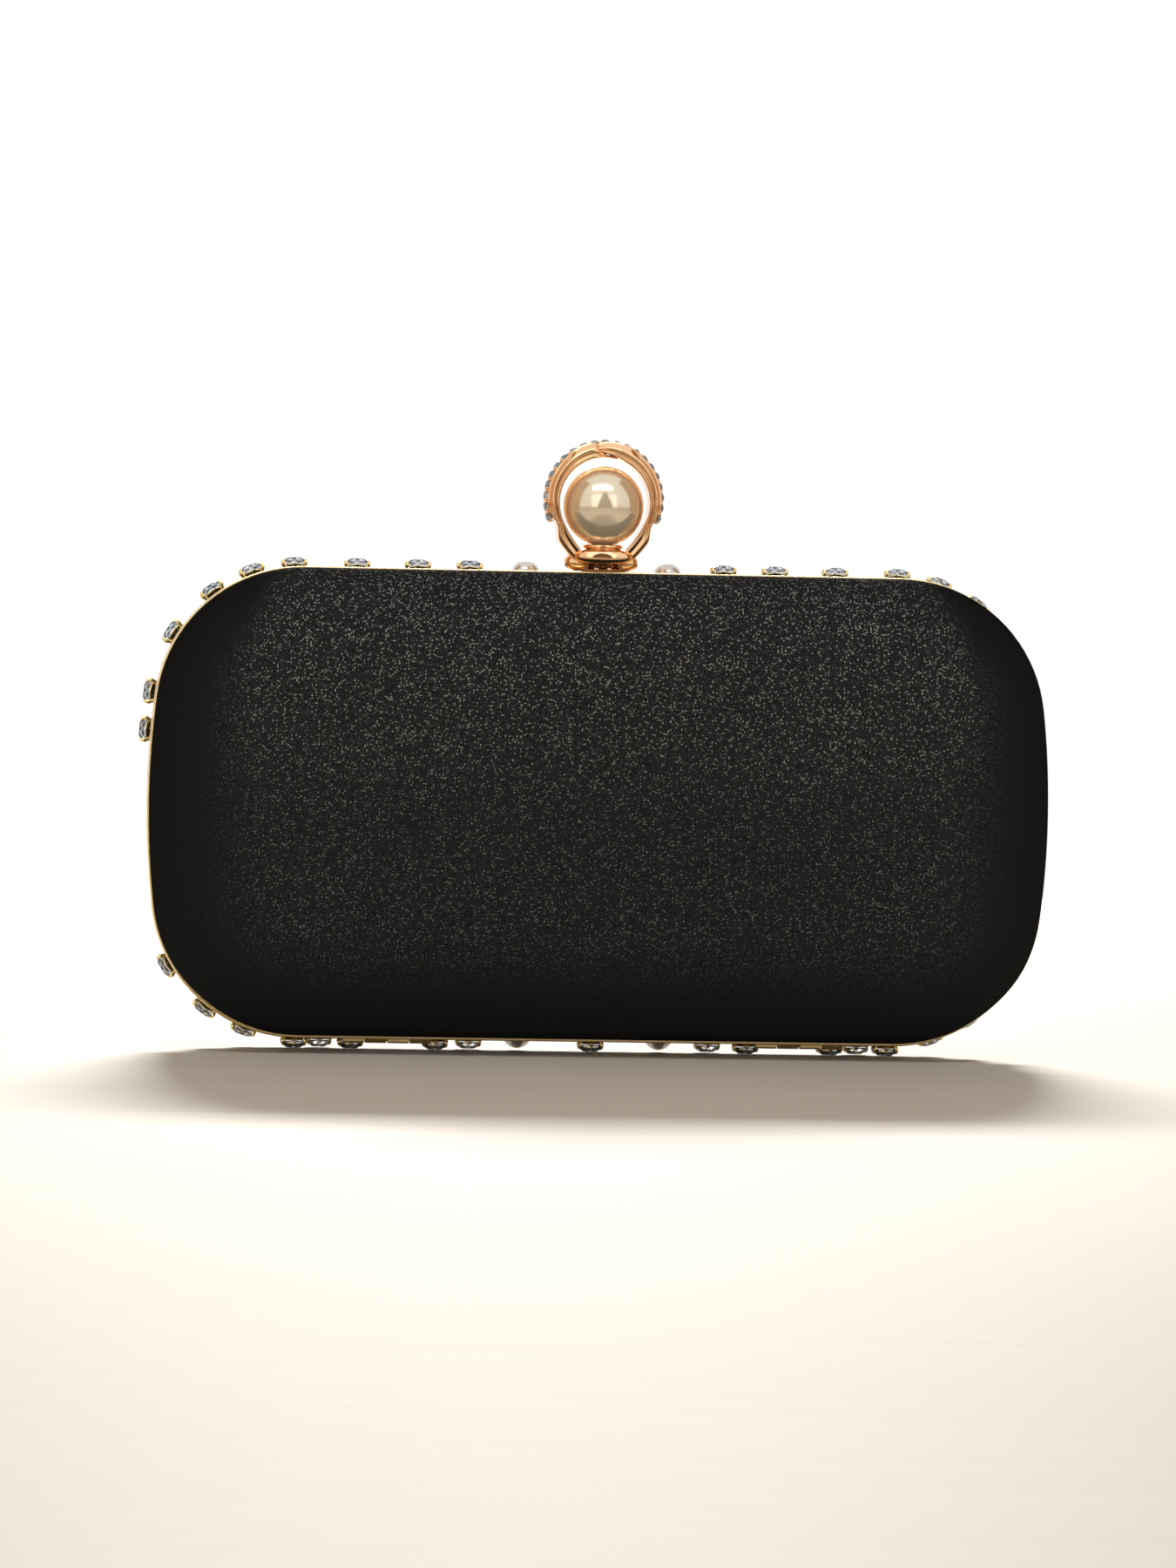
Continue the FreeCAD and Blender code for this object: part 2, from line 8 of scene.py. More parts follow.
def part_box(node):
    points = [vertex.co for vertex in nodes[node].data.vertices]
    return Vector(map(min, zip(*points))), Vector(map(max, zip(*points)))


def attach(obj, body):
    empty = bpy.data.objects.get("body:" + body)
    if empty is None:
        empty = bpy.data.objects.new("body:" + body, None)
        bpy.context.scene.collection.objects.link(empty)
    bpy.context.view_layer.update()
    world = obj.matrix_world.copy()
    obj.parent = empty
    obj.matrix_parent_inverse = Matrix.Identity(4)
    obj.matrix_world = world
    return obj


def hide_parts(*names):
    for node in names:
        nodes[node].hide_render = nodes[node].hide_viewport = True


# The clutch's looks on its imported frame: padded satin back, trimmed cloth front, gold frames
# and a finger ring clasp round a pearl. Metres, in the row frame.

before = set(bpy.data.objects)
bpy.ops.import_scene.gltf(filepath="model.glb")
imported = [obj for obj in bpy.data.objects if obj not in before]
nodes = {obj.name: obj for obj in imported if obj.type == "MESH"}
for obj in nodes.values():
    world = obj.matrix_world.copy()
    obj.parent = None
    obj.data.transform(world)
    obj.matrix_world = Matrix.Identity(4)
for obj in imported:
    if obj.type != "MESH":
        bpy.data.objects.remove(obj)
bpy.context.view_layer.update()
scene = bpy.context.scene
MM = 0.001

# ------------------------------------------------------------------ sizes shared with the CAD

frame_low, frame_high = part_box("rear_frame")
SEAM_GAP_HALF = 0.15 * MM
SEAM_Y = frame_high.y + SEAM_GAP_HALF
MID_Z = (frame_low.z + frame_high.z) / 2
WIDTH = frame_high.x - frame_low.x
HEIGHT = frame_high.z - frame_low.z
CORNER_RADIUS = 31 * MM
SIDE_BOW_RADIUS = 186 * MM
REAR, FRONT = -1, 1

BOW_X = WIDTH / 2 - SIDE_BOW_RADIUS
CORNER_Z = HEIGHT / 2 - CORNER_RADIUS
REACH = SIDE_BOW_RADIUS - CORNER_RADIUS
CORNER_X = BOW_X + math.sqrt(REACH**2 - CORNER_Z**2)
MEET = math.asin(CORNER_Z / REACH)
DEEPEST_INSET = 30 * MM
SPINE_X = WIDTH / 2 - HEIGHT / 2
WAIST_STEPS, CORNER_STEPS, TOP_STEPS = 8, 20, 24
WELD = 1e-6
LUMPS_FROM, LUMPS_FULL_AFTER = 4 * MM, 6 * MM


def quarter(inset):
    """Points from the side's waist up round the corner to the top's middle, x and z above 0."""
    bow = SIDE_BOW_RADIUS - inset
    corner = CORNER_RADIUS - inset
    points = []
    for i in range(WAIST_STEPS):
        a = MEET * i / WAIST_STEPS
        points.append((BOW_X + bow * math.cos(a), bow * math.sin(a)))
    for i in range(CORNER_STEPS):
        a = MEET + (math.pi / 2 - MEET) * i / CORNER_STEPS
        points.append((CORNER_X + corner * math.cos(a), CORNER_Z + corner * math.sin(a)))
    for i in range(TOP_STEPS + 1):
        points.append((CORNER_X * (1 - i / TOP_STEPS), HEIGHT / 2 - inset))
    return points


def loop(inset):
    """The closed outline at an inset. Past the deepest one it closes on the middle's spine."""
    part = quarter(min(inset, DEEPEST_INSET))
    if inset > DEEPEST_INSET:
        t = min(1.0, (inset - DEEPEST_INSET) / (HEIGHT / 2 - DEEPEST_INSET))
        part = [(x + (min(x, SPINE_X) - x) * t, z * (1 - t)) for x, z in part]
    left = [(-x, z) for x, z in reversed(part[:-1])]
    top = part + left
    bottom = [(x, -z) for x, z in reversed(top[1:-1])]
    return top + bottom


def superellipse_rise(inset, start, width, low, high, power):
    """Rounded climb from low at the start to high a width further in."""
    u = min(max((start + width - inset) / width, 0), 1)
    return low + (high - low) * (1 - u**power) ** (1 / power)


def smooth(t):
    """Eased step from 0 to 1."""
    t = min(max(t, 0), 1)
    return t * t * (3 - 2 * t)


def mesh_object(name, bm, body, slot_name, *materials):
    mesh = bpy.data.meshes.new(name)
    bmesh.ops.recalc_face_normals(bm, faces=bm.faces)
    bm.to_mesh(mesh)
    bm.free()
    obj = bpy.data.objects.new(name, mesh)
    scene.collection.objects.link(obj)
    for material in materials:
        mesh.materials.append(material)
    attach(obj, body)
    return obj


def shade(obj, smooth_on=True, angle=None):
    for face in obj.data.polygons:
        face.use_smooth = smooth_on
    if angle is not None:
        obj.data.set_sharp_from_angle(angle=math.radians(angle))


def skin(bm, pairs):
    """Rings of quads between pairs of rows of vertices."""
    for a, b in pairs:
        n = len(a)
        for i in range(n):
            bm.faces.new((a[i], a[(i + 1) % n], b[(i + 1) % n], b[i]))


def outward_at(x, z):
    """Outward direction of the outline next to a point, in X and Z."""
    sx = 1 if x >= 0 else -1
    sz = 1 if z >= 0 else -1
    x, z = abs(x), abs(z)
    if x <= CORNER_X:
        return Vector((0, 0, sz))
    if math.atan2(z - CORNER_Z, x - CORNER_X) > MEET and z > CORNER_Z:
        d = Vector((x - CORNER_X, 0, z - CORNER_Z)).normalized()
    else:
        d = Vector((x - BOW_X, 0, z)).normalized()
    return Vector((d.x * sx, 0, d.z * sz))


def wall_swell(inset, depth, x, z):
    """The satin's wall swells out towards the frame's edge, except along the bottom."""
    at_wall = smooth((depth - 1.5 * MM) / (3 * MM)) * (1 - smooth((inset - 1 * MM) / (5 * MM)))
    lower = smooth((-z - 32 * MM) / (12 * MM))
    outward = outward_at(x, z)
    return outward * (0.42 * MM * at_wall * (1 - lower))


def painted_glint_weight(inset, x, z):
    """Strength of the satin's painted glints: most at the top middle, least on the sides and bottom.

    The glints are a painted highlight and their rise towards the top is painted light, so they stay as
    they are whatever the light.
    """
    # Painted light: the glints grow stronger towards the top middle and upwards, and fade on the sides
    # and bottom.
    painted_top_light = smooth((z - 12 * MM) / (26 * MM)) * (1 - smooth((abs(x) - 58 * MM) / (22 * MM)))
    share = smooth((inset + 22 * MM * painted_top_light - 4 * MM) / (22 * MM))
    return share * (0.8 + 1.1 * smooth((z + 5 * MM) / (52 * MM)))


def dish(name, half, outside, inside, lumps, body, slot_name, material):
    """Closed dish from two lists of (inset, depth), from the rim to the middle.

    Lumps are how far the outer and the inner side wave, and how wide the waves are.
    """
    outer_lump, inner_lump, lump_size = lumps
    bm = bmesh.new()
    # The crown layer holds each vertex's painted glint weight: painted light, strongest at the top
    # middle, that the satin's colour reads.
    painted_glint_layer = bm.verts.layers.float.new("crown")
    rows = []
    profile = [(i, d, 1) for i, d in outside] + [(i, d, 0) for i, d in reversed(inside)]
    for inset, depth, is_outside in profile:
        row = []
        for x, z in loop(inset):
            at = Vector((x, SEAM_Y + half * depth, MID_Z + z))
            if is_outside and half == REAR:
                at += wall_swell(inset, depth, x, z)
            amount = outer_lump if is_outside else inner_lump
            ease = smooth((depth - LUMPS_FROM) / LUMPS_FULL_AFTER)
            lump = noise.noise(at / lump_size) * amount * ease
            vert = bm.verts.new(at + Vector((0, half * lump, 0)))
            vert[painted_glint_layer] = painted_glint_weight(inset, x, z)
            row.append(vert)
        rows.append(row)
    turn_at = len(outside)
    outer_rows, inner_rows = rows[:turn_at], rows[turn_at:]
    skin(bm, zip(outer_rows, outer_rows[1:]))
    skin(bm, zip(inner_rows, inner_rows[1:] + outer_rows[:1]))
    bmesh.ops.remove_doubles(bm, verts=bm.verts, dist=WELD)
    obj = mesh_object(name, bm, body, slot_name, material)
    shade(obj)
    return obj


# ------------------------------------------------------------------ node materials

BLACK, WHITE = (0, 0, 0), (1, 1, 1)


def new_material(name):
    material = bpy.data.materials.new(name)
    material.use_nodes = True
    tree = material.node_tree
    shader = tree.nodes["Principled BSDF"]
    coords = tree.nodes.new("ShaderNodeTexCoord")
    return material, tree, shader, coords.outputs["Object"]


def noise_node(tree, coords, scale, detail, roughness, stretch=None):
    if stretch:
        mapping = tree.nodes.new("ShaderNodeMapping")
        mapping.inputs["Scale"].default_value = stretch
        tree.links.new(coords, mapping.inputs["Vector"])
        coords = mapping.outputs["Vector"]
    node = tree.nodes.new("ShaderNodeTexNoise")
    node.inputs["Scale"].default_value = scale
    node.inputs["Detail"].default_value = detail
    node.inputs["Roughness"].default_value = roughness
    tree.links.new(coords, node.inputs["Vector"])
    return node.outputs["Fac"]


def ramp(tree, factor, *stops):
    node = tree.nodes.new("ShaderNodeValToRGB")
    elements = node.color_ramp.elements
    while len(elements) < len(stops):
        elements.new(0.5)
    for element, (at, colour) in zip(elements, stops):
        element.position = at
        element.color = (*colour, 1)
    tree.links.new(factor, node.inputs["Fac"])
    return node.outputs["Color"]


def spread(tree, factor, low, high):
    """A noise factor's usual 0.3 to 0.7 mapped to low to high."""
    node = tree.nodes.new("ShaderNodeMapRange")
    node.inputs["From Min"].default_value = 0.3
    node.inputs["From Max"].default_value = 0.7
    node.inputs["To Min"].default_value = low
    node.inputs["To Max"].default_value = high
    tree.links.new(factor, node.inputs["Value"])
    return node.outputs["Result"]


def bump(tree, shader, height, strength, distance, below=None):
    node = tree.nodes.new("ShaderNodeBump")
    node.inputs["Strength"].default_value = strength
    node.inputs["Distance"].default_value = distance
    tree.links.new(height, node.inputs["Height"])
    if below:
        tree.links.new(below, node.inputs["Normal"])
    tree.links.new(node.outputs["Normal"], shader.inputs["Normal"])
    return node.outputs["Normal"]


def maths(tree, operation, a, b):
    node = tree.nodes.new("ShaderNodeMath")
    node.operation = operation
    tree.links.new(a, node.inputs[0])
    tree.links.new(b, node.inputs[1])
    return node.outputs["Value"]


def cell_node(tree, coords, scale):
    """Small cells of random colour: the colour's channels, and the distance from the middle."""
    cells = tree.nodes.new("ShaderNodeTexVoronoi")
    cells.inputs["Scale"].default_value = scale
    tree.links.new(coords, cells.inputs["Vector"])
    split = tree.nodes.new("ShaderNodeSeparateColor")
    tree.links.new(cells.outputs["Color"], split.inputs["Color"])
    return split.outputs, cells.outputs["Distance"]


def surface(tree, shader, colour, roughness, **plain):
    """Link the shader's colour and roughness, and set its plain values by name."""
    tree.links.new(colour, shader.inputs["Base Color"])
    tree.links.new(roughness, shader.inputs["Roughness"])
    for name, value in plain.items():
        shader.inputs[name.replace("_", " ")].default_value = value


def mix_colour(tree, factor, a, b):
    node = tree.nodes.new("ShaderNodeMix")
    node.data_type = "RGBA"
    tree.links.new(factor, node.inputs["Factor"])
    for socket, value in (("A", a), ("B", b)):
        target = [s for s in node.inputs if s.name == socket and s.type == "RGBA"][0]
        if isinstance(value, tuple):
            target.default_value = (*value, 1)
        else:
            tree.links.new(value, target)
    return [s for s in node.outputs if s.type == "RGBA"][0]


def satin_material():
    """Near-black polyester satin: dark grain with painted glints, pale specks in the base colour that are
    strongest at the top middle and fade towards the drawn-down edges.
    """
    material, tree, shader, coords = new_material("black_satin_weave")
    grain = noise_node(tree, coords, 3300, 1.0, 0.6)
    cloud = noise_node(tree, coords, 26, 3.0, 0.5)
    channels, distance = cell_node(tree, coords, 2500)
    chosen = ramp(tree, channels["Red"], (0.60, BLACK), (0.95, WHITE))
    painted_spark = maths(tree, "MULTIPLY", chosen, ramp(tree, distance, (0.18, WHITE), (0.48, BLACK)))
    ground = ramp(tree, grain, (0.40, (0.0175, 0.0185, 0.0195)), (0.62, (0.043, 0.0455, 0.0475)))
    # The crown attribute is painted light: the glints show most at the top middle and fade on the sides
    # and bottom.
    crown = tree.nodes.new("ShaderNodeAttribute")
    crown.attribute_name = "crown"
    painted_glint_share = maths(tree, "MULTIPLY", painted_spark, crown.outputs["Fac"])
    # Pale specks mixed into the base colour: painted glints, a painted highlight that stays as it is
    # whatever the light.
    painted_glints = mix_colour(tree, painted_glint_share, ground, (0.50, 0.52, 0.54))
    colour = mix_colour(tree, crown.outputs["Fac"], (0.0175, 0.0183, 0.0190), painted_glints)
    surface(tree, shader, colour, spread(tree, cloud, 0.62, 0.78), Specular_IOR_Level=0.0)
    thread = noise_node(tree, coords, 900, 2.0, 0.5, (1.0, 1.0, 2.4))
    first = bump(tree, shader, thread, 0.35, 0.00010)
    bump(tree, shader, grain, 0.30, 0.00012, first)
    return material


def glitter_cloth_material():
    """Rough black cloth with metallic specks caught in its pile."""
    material, tree, shader, coords = new_material("black_glitter_pile")
    channels, _ = cell_node(tree, coords, 2600)
    pile = noise_node(tree, coords, 1500, 4.0, 0.7)
    fleck = ramp(tree, channels["Red"], (0.84, BLACK), (0.97, WHITE))
    ground = ramp(tree, pile, (0.35, (0.003, 0.003, 0.0035)), (0.7, (0.017, 0.017, 0.018)))
    colour = mix_colour(tree, fleck, ground, (0.30, 0.30, 0.32))
    surface(tree, shader, colour, spread(tree, channels["Green"], 0.35, 0.75), Specular_IOR_Level=0.2)
    tree.links.new(fleck, shader.inputs["Metallic"])
    bump(tree, shader, pile, 0.6, 0.00018)
    return material


def lining_material():
    """Matt lining twill with a faint diagonal rib."""
    material, tree, shader, coords = new_material("black_lining_twill")
    rib = tree.nodes.new("ShaderNodeTexWave")
    rib.inputs["Scale"].default_value = 420
    rib.inputs["Distortion"].default_value = 1.2
    rib.bands_direction = "DIAGONAL"
    tree.links.new(coords, rib.inputs["Vector"])
    cloud = noise_node(tree, coords, 60, 4.0, 0.6)
    tone = ramp(tree, cloud, (0.3, (0.012, 0.011, 0.012)), (0.7, (0.026, 0.024, 0.026)))
    surface(tree, shader, tone, spread(tree, cloud, 0.75, 0.9), Sheen_Weight=0.15)
    bump(tree, shader, rib.outputs["Fac"], 0.35, 0.0001)
    return material


def metal_material(name, colour, worn, rough, brushed=(1, 1, 1), scale=700):
    """Plated metal with polishing marks, slight tone change and small dents."""
    material, tree, shader, coords = new_material(name)
    cloud = noise_node(tree, coords, 120, 3.0, 0.6)
    marks = noise_node(tree, coords, scale, 4.0, 0.6, brushed)
    tone = ramp(tree, cloud, (0.35, colour), (0.72, worn))
    surface(tree, shader, tone, spread(tree, marks, *rough), Metallic=1.0)
    dents = noise_node(tree, coords, 260, 2.0, 0.5)
    first = bump(tree, shader, marks, 0.10, 0.00004)
    bump(tree, shader, dents, 0.16, 0.00008, first)
    return material


def stone_material():
    """Clear cut glass with faint cool tint and tiny polish marks."""
    material, tree, shader, coords = new_material("cut_glass")
    cloud = noise_node(tree, coords, 300, 3.0, 0.5)
    tone = ramp(tree, cloud, (0.3, (0.90, 0.95, 1.0)), (0.7, WHITE))
    rough = spread(tree, cloud, 0.0, 0.03)
    surface(tree, shader, tone, rough, Transmission_Weight=1.0, IOR=1.62, Coat_Weight=0.3)
    return material


def foil_material():
    """Silver foil behind the stones, with a blue-grey cast and uneven lay."""
    material, tree, shader, coords = new_material("stone_foil")
    cloud = noise_node(tree, coords, 420, 3.0, 0.6)
    tone = ramp(tree, cloud, (0.3, (0.42, 0.49, 0.58)), (0.7, (0.93, 0.95, 0.98)))
    surface(tree, shader, tone, spread(tree, cloud, 0.05, 0.22), Metallic=1.0)
    bump(tree, shader, cloud, 0.4, 0.0001)
    return material


def pearl_material(name, deep, pale, coat_tint):
    """Pearl coat over a glass bead: milky layers, soft cloudiness and a clear gloss."""
    material, tree, shader, coords = new_material(name)
    cloud = noise_node(tree, coords, 90, 4.0, 0.55)
    surface(
        tree, shader, ramp(tree, cloud, (0.3, deep), (0.7, pale)), spread(tree, cloud, 0.12, 0.18),
        Metallic=0.42, Subsurface_Weight=0.12, Subsurface_Radius=(1.0, 0.7, 0.4), Subsurface_Scale=0.0015,
        Coat_Weight=0.6, Coat_Roughness=0.03, Coat_IOR=1.5, Coat_Tint=(*coat_tint, 1),
    )
    fine = noise_node(tree, coords, 2200, 2.0, 0.5)
    bump(tree, shader, fine, 0.05, 0.00003)
    return material


def board_material():
    """Moulded shell board: matt, faintly mottled."""
    material, tree, shader, coords = new_material("shell_board_moulded")
    cloud = noise_node(tree, coords, 180, 5.0, 0.6)
    tone = ramp(tree, cloud, (0.3, (0.03, 0.03, 0.03)), (0.7, (0.06, 0.058, 0.055)))
    surface(tree, shader, tone, spread(tree, cloud, 0.6, 0.8))
    bump(tree, shader, cloud, 0.3, 0.0002)
    return material


SATIN = satin_material()
GLITTER = glitter_cloth_material()
LINING = lining_material()
PALE_GOLD = metal_material(
    "pale_gold_plate", (0.86, 0.66, 0.30), (0.93, 0.76, 0.44), (0.16, 0.28), brushed=(1, 6, 1)
)
SETTING_GOLD = metal_material("setting_gold_plate", (0.93, 0.68, 0.25), (0.98, 0.80, 0.42), (0.10, 0.22))
ROSE_GOLD = metal_material(
    "rose_gold_plate", (0.86, 0.50, 0.25), (0.95, 0.63, 0.37), (0.05, 0.12), scale=500
)
STEEL = metal_material(
    "spring_steel", (0.50, 0.50, 0.51), (0.62, 0.61, 0.60), (0.2, 0.34), brushed=(8, 1, 1)
)
GLASS = stone_material()
FOIL = foil_material()
WHITE_PEARL = pearl_material("white_pearl_coat", (0.80, 0.77, 0.72), (0.90, 0.88, 0.85), (1, 0.99, 0.97))
CHAMPAGNE = pearl_material("champagne_pearl_coat", (0.96, 0.80, 0.56), (1.0, 0.90, 0.72), (1, 0.98, 0.94))
BOARD = board_material()

for node_name in ("rear_frame", "front_frame"):
    nodes[node_name].data.materials[0] = PALE_GOLD
for side in ("left", "right"):
    for half_name in ("rear", "front"):
        nodes[f"{side}_hinge_{half_name}_knuckles"].data.materials[0] = PALE_GOLD
    nodes[f"{side}_hinge_pin"].data.materials[0] = STEEL
for node_name in ("clasp_bracket", "bracket_rivets", "clasp_keeper", "pearl_peg"):
    nodes[node_name].data.materials[0] = ROSE_GOLD
for node_name in ("clasp_pivot_pin", "clasp_spring"):
    nodes[node_name].data.materials[0] = STEEL
for node_name in ("rear_shell", "front_shell"):
    nodes[node_name].data.materials[0] = BOARD

# ------------------------------------------------------------------ covers and linings

COVER_INSET = 0.75 * MM
LINE_START = 1.0 * MM
SATIN_TOP = 21.8 * MM
SATIN_CROWN = 0.8 * MM
SATIN_ROLL = 24 * MM
COVER_THICK = 1.35 * MM
INNERMOST = 49.5


def satin_depth(inset):
    """Depth of the satin's outside: a rounded edge and a low crown in the middle."""
    depth = superellipse_rise(inset, COVER_INSET, SATIN_ROLL, 7 * MM, SATIN_TOP, 2.4)
    return depth + SATIN_CROWN * smooth((inset - 12 * MM) / (38 * MM))


def satin_outside():
    rows = [(COVER_INSET + 0.12 * MM, LINE_START), (COVER_INSET, 1.25 * MM)]
    rows += [(COVER_INSET, d * MM) for d in (2.5, 4, 5.5, 6.6, 7.0)]
    rows += [(COVER_INSET + SATIN_ROLL * (i / 34) ** 2, 0) for i in range(1, 35)]
    rows += [(i * MM, 0) for i in (27, 29.5, 33, 37, 41, 45, 48, INNERMOST)]
    return [(i, d or satin_depth(i)) for i, d in rows]


def rounded(inset, depth, radius, steps):
    """Profile of a wall at an inset that turns over a radius onto a flat at a depth."""
    rows = []
    for i in range(steps + 1):
        a = math.pi / 2 * i / steps
        rows.append((inset + radius * (1 - math.cos(a)), depth - radius * (1 - math.sin(a))))
    return rows


def flat_rows(depth, start):
    """Profile of the flat at a depth, inwards from where the turn ends."""
    insets = (16, 20, 24, 28, 32, 37, 42, 47, INNERMOST)
    return [(i * MM, depth) for i in insets if i * MM > start + 2 * MM]


def dish_rows(inset, depth, radius, steps):
    """Profile of a plain dish: its wall, the turn at its edge and its flat."""
    start = inset + radius
    rows = [(inset, LINE_START), (inset, 0.5 * (LINE_START + depth - radius))]
    return rows + rounded(inset, depth, radius, steps) + flat_rows(depth, start)


rear_inner = dish_rows(COVER_INSET + COVER_THICK, 19.65 * MM, 12.65 * MM, 16)
satin_lumps = (0.12 * MM, 0, 15 * MM)
satin = dish(
    "satin_back", REAR, satin_outside(), rear_inner, satin_lumps, "rear_half", "black_satin", SATIN
)
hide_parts("rear_cover", "rear_padding")

front_outside = dish_rows(COVER_INSET, 22.0 * MM, 7.0 * MM, 12)
front_inner = dish_rows(COVER_INSET + COVER_THICK, 20.65 * MM, 5.65 * MM, 8)
pile_lumps = (0.03 * MM, 0, 2 * MM)
front_cloth = dish(
    "glitter_front", FRONT, front_outside, front_inner, pile_lumps, "lid", "black_glitter_cloth", GLITTER
)
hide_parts("front_cover", "front_padding")

for half, name, body, depth, radius in (
    (REAR, "rear_lining", "rear_half", 18.0 * MM, 11.0 * MM),
    (FRONT, "front_lining", "lid", 19.0 * MM, 4.0 * MM),
):
    outer_rows = dish_rows(3.76 * MM, depth - 0.02 * MM, radius, 12)
    inner_rows = dish_rows(4.34 * MM, depth - 0.65 * MM, radius - 0.6 * MM, 12)
    lumps = (0, 0.22 * MM, 9 * MM)
    cloth = dish(f"{name}_cloth", half, outer_rows, inner_rows, lumps, body, "black_lining", LINING)
    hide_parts(name)

# ------------------------------------------------------------------ places of stones and pearls


def islands(node):
    """The vertex lists of a CAD node's separate solids."""
    bm = bmesh.new()
    bm.from_mesh(nodes[node].data)
    bmesh.ops.remove_doubles(bm, verts=bm.verts, dist=2e-6)
    seen = set()
    found = []
    for start in bm.verts:
        if start.index in seen:
            continue
        seen.add(start.index)
        stack = [start]
        points = []
        while stack:
            vert = stack.pop()
            points.append(vert.co.copy())
            for edge in vert.link_edges:
                other = edge.other_vert(vert)
                if other.index not in seen:
                    seen.add(other.index)
                    stack.append(other)
        found.append(points)
    bm.free()
    return found


def edge_normal(centre):
    return outward_at(centre.x, centre.z - MID_Z)


def face_normal(centre):
    return Vector((0, 1, 0))


FOUR_CORNERS = ((-1, -1), (-1, 1), (1, -1), (1, 1))
ring_low, ring_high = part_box("clasp_ring")
RING_OUTER = (ring_high.x - ring_low.x) / 2
RING_OUTER_Z = ring_high.z - RING_OUTER
RING_Y = (ring_low.y + ring_high.y) / 2
pearl_low, pearl_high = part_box("clasp_pearl")
PEARL_RADIUS = (pearl_high.x - pearl_low.x) / 2
PEARL_CENTRE = Vector((0, RING_Y, pearl_high.z - PEARL_RADIUS))
RING_BORE = PEARL_RADIUS + 0.95 * MM
RING_BORE_Z = PEARL_CENTRE.z - 0.25 * MM - PEARL_RADIUS + RING_BORE


def ring_normal(centre):
    return Vector((centre.x, 0, centre.z - RING_OUTER_Z)).normalized()


def places(node, normal_at):
    """Each solid's base centre, its directions along, sideways and outward, and its three sizes."""
    found = []
    for points in islands(node):
        centre = sum(points, Vector()) / len(points)
        outward = normal_at(centre)
        side = Vector((0, 0, 1)) if abs(outward.y) > 0.5 else Vector((0, 1, 0))
        along = side.cross(outward).normalized()
        spans = []
        for axis in (along, side, outward):
            values = [p.dot(axis) for p in points]
            spans.append((min(values), max(values)))
        middle = [(a + b) / 2 for a, b in spans]
        base = along * middle[0] + side * middle[1] + outward * spans[2][0]
        sizes = [b - a for a, b in spans]
        found.append((base, along, side, outward, sizes))
    found.sort(key=lambda place: [round(value, 5) for value in (place[0].x, place[0].z, place[0].y)])
    return found


def oval(count, scale, z, turn=0.0, power=2.3):
    """Points of a cushion outline of full width 1, scaled, at a height."""
    points = []
    for i in range(count):
        a = 2 * math.pi * (i + turn) / count
        c, s = math.cos(a), math.sin(a)
        r = (abs(c) ** power + abs(s) ** power) ** (-1 / power)
        points.append(Vector((0.5 * scale * r * c, 0.5 * scale * r * s, z)))
    return points


def gem_template():
    """Cut stone in a unit box: table, star and bezel facets, girdle and pavilion."""
    bm = bmesh.new()
    points = oval(16, 1.0, 0.36) + oval(16, 1.0, 0.42)
    points += oval(8, 0.87, 0.74, 0.5) + oval(8, 0.52, 1.0)
    points += oval(8, 0.66, 0.16, 0.5) + [Vector((0, 0, 0.0))]
    for point in points:
        bm.verts.new(point)
    bmesh.ops.convex_hull(bm, input=bm.verts)
    bmesh.ops.dissolve_limit(bm, angle_limit=0.02, verts=bm.verts, edges=bm.edges)
    bmesh.ops.recalc_face_normals(bm, faces=bm.faces)
    faces = [([v.co.copy() for v in f.verts], 1 if f.normal.z < -0.15 else 0) for f in bm.faces]
    bm.free()
    return faces


def stack_faces(rows):
    """Faces round a stack of rows of points, closed at both ends."""
    faces = []
    for a, b in zip(rows, rows[1:]):
        for i in range(len(a)):
            j = (i + 1) % len(a)
            faces.append(([a[i], a[j], b[j], b[i]], 0))
    return faces + [(list(reversed(rows[0])), 0), (rows[-1], 0)]


def revolved(profile, count, power=2.3, scallop=0.0):
    """Faces of a closed cushion-shaped lathe of (scale, z, share of the scallop) rows."""
    rows = []
    for scale, z, wave in profile:
        row = oval(count, scale, z, 0.0, power)
        for i, point in enumerate(row):
            point.z += wave * scallop * math.cos(8 * math.pi * i / count)
        rows.append(row)
    return stack_faces(rows)


def tube(path, radii, sides=8):
    """Faces of a round tapered tube through points."""
    rows = []
    for k, (point, radius) in enumerate(zip(path, radii)):
        ahead = path[min(k + 1, len(path) - 1)] - path[max(k - 1, 0)]
        ahead.normalize()
        u = ahead.cross(Vector((0.3, 0.7, 0.1))).normalized()
        v = ahead.cross(u)
        row = []
        for i in range(sides):
            a = 2 * math.pi * i / sides
            row.append(point + (u * math.cos(a) + v * math.sin(a)) * radius)
        rows.append(row)
    return stack_faces(rows)


def setting_template(claw):
    """Collet with a scalloped rim, its seat, and four claws bent over the girdle."""
    cup = [
        (0.74, 0.0, 0), (0.79, 0.02, 0), (0.80, 0.08, 0), (0.74, 0.13, 0), (0.78, 0.20, 0),
        (0.90, 0.36, 0.5), (0.985, 0.50, 1), (0.97, 0.55, 1), (0.945, 0.54, 1), (0.92, 0.44, 0.4),
        (0.60, 0.24, 0),
    ]
    faces = revolved(cup, 32, scallop=0.07)
    stations = ((0.36, 0.0), (0.365, 0.25), (0.41, 0.52), (0.425, 0.74), (0.395, 0.93), (0.35, 0.985))
    for sx, sy in FOUR_CORNERS:
        path = [Vector((sx * r * 0.94, sy * r * 0.94, z)) for r, z in stations]
        faces += tube(path, [claw, claw, claw, claw * 0.95, claw * 0.8, claw * 0.35])
    return faces


def pearl_template():
    """Flat-backed pearl: turned-in foot, full belly, faintly pointed crown."""
    profile = [(0.90, 0.0, 0), (0.955, 0.02, 0), (0.985, 0.06, 0)]
    for i in range(1, 23):
        a = math.pi / 2 * i / 23
        profile.append((math.cos(a) ** 0.99, 0.06 + 0.94 * math.sin(a), 0))
    profile.append((0.02, 1.0, 0))
    return revolved(profile, 40, 2.0)


